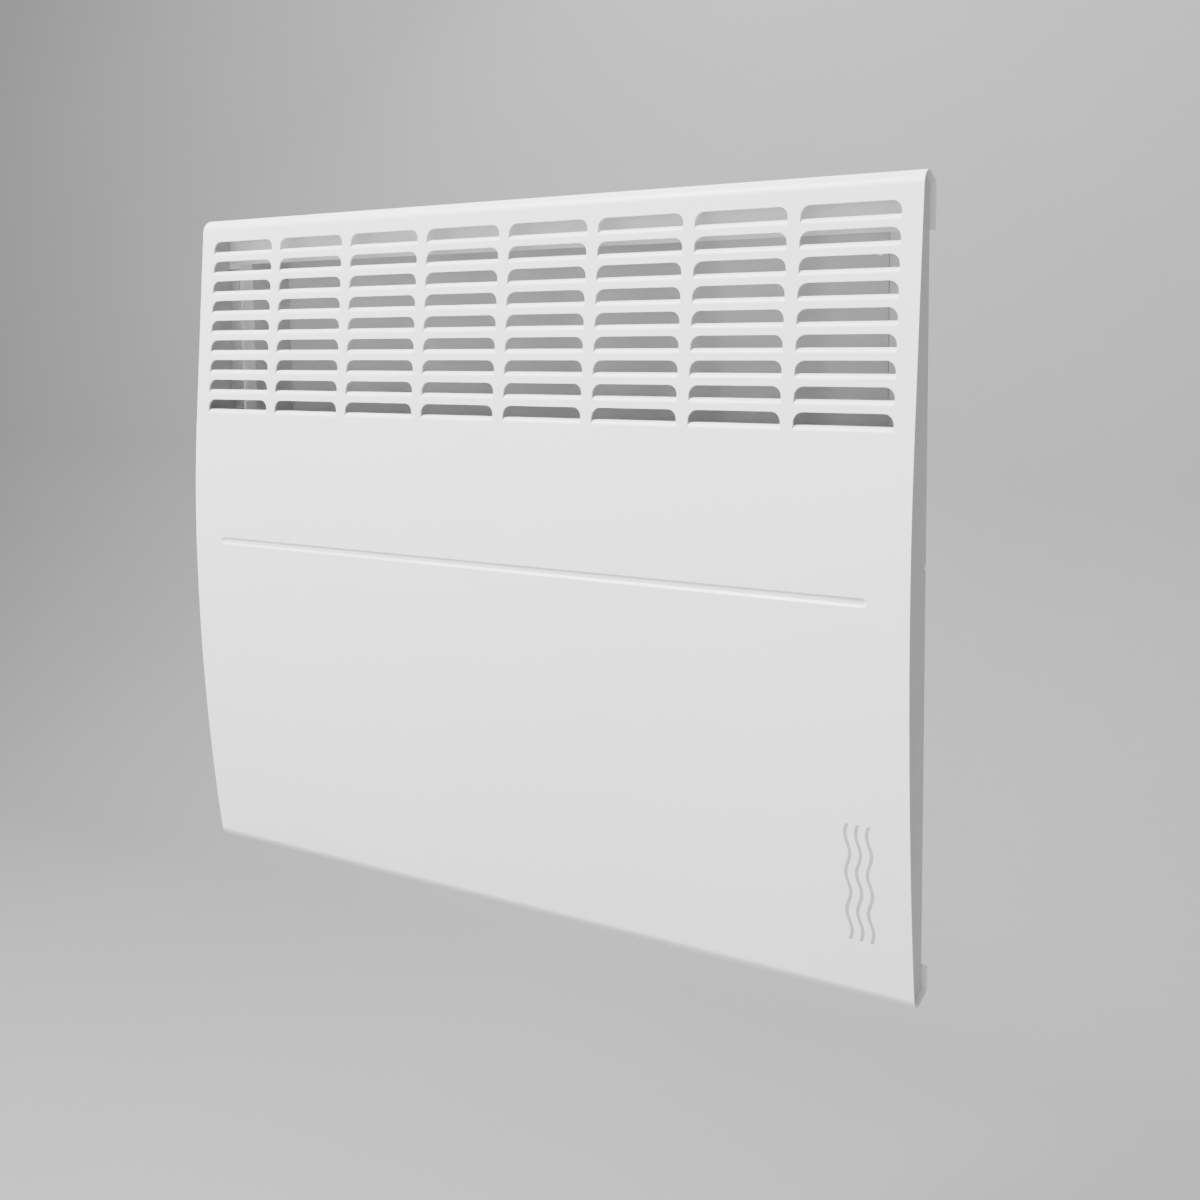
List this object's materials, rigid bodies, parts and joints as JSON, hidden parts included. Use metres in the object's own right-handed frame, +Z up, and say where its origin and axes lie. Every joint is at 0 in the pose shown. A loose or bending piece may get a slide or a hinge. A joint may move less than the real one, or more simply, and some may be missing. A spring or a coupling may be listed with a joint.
{
  "type": "wall panel convector heater",
  "caption": "Wall-hung electric panel convector: louvred steel front on a rear housing, finned element, knob and rocker, hinged on a lift-off wall bracket with latches.",
  "frame": {"origin": "centre of the four wall-fixing holes, on the wall plane", "axes": "+Z up, +Y into the wall, -Y out of the front, +X to the right seen from the front"},
  "size_m": [0.528, 0.098, 0.4544],
  "materials": {
    "white_enamel": "satin white powder coat",
    "grey_cheek": "satin grey powder coat",
    "housing_steel": "satin white powder coat",
    "zinc_steel": "galvanised",
    "bright_screw": "nickel plated",
    "fin_alloy": "mill finish",
    "rod_steel": "heat tinted",
    "ceramic": "glazed steatite",
    "brass_parts": "plain",
    "grey_plastic": "fine texture",
    "white_plastic": "satin",
    "black_plastic": "satin",
    "pilot_amber": "clear amber",
    "buffer_rubber": "matt"
  },
  "bodies": {
    "bracket": {"wall_bracket": "zinc_steel", "latch_pins": "bright_screw"},
    "latch_left": {"latch_left": "white_plastic"},
    "latch_right": {"latch_right": "white_plastic"},
    "heater": {"front_cover": "white_enamel", "left_end_cheek": "grey_cheek", "right_end_cheek": "grey_cheek", "rear_housing": "housing_steel", "housing_floor": "housing_steel", "housing_rim": "housing_steel", "latch_lips": "housing_steel", "hinge_lugs": "zinc_steel", "pivot_pins": "bright_screw", "intake_guard": "housing_steel", "cover_screws": "bright_screw", "wall_buffers": "buffer_rubber", "element_rods": "rod_steel", "element_fins": "fin_alloy", "element_hanger_left": "zinc_steel", "element_hanger_right": "zinc_steel", "element_bushes": "ceramic", "element_terminals": "brass_parts", "heat_shield": "zinc_steel", "thermal_cutout": "ceramic", "control_box": "grey_plastic", "control_box_lid": "grey_plastic", "lid_screws": "bright_screw", "thermostat_body": "black_plastic", "dial_plate": "white_plastic", "switch_body": "black_plastic", "pilot_lens": "pilot_amber", "cable_gland": "black_plastic", "terminal_block": "white_plastic", "terminal_screws": "brass_parts", "earth_stud": "brass_parts", "room_sensor": "brass_parts", "sensor_clip": "white_plastic"},
    "knob": {"thermostat_knob": "white_plastic", "thermostat_spindle": "brass_parts"},
    "rocker": {"switch_rocker": "white_plastic"}
  },
  "joints": [
    {"name": "heater_tilt", "type": "hinge", "parent": "bracket", "child": "heater", "pos_m": [0, -0.014, -0.19], "axis": [1, 0, 0], "range_deg": [0, 20]},
    {"name": "latch_left_swing", "type": "hinge", "parent": "bracket", "child": "latch_left", "pos_m": [-0.115, -0.009, 0.2105], "axis": [-1, 0, 0], "range_deg": [0, 70]},
    {"name": "latch_right_swing", "type": "hinge", "parent": "bracket", "child": "latch_right", "pos_m": [0.115, -0.009, 0.2105], "axis": [-1, 0, 0], "range_deg": [0, 70]},
    {"name": "thermostat_turn", "type": "hinge", "parent": "heater", "child": "knob", "pos_m": [0.205, -0.041, 0.21], "axis": [0, 0, -1], "range_deg": [0, 300]},
    {"name": "mode_rock", "type": "hinge", "parent": "heater", "child": "rocker", "pos_m": [0.156, -0.041, 0.2034], "axis": [0, 1, 0], "range_deg": [-10, 10]}
  ]
}
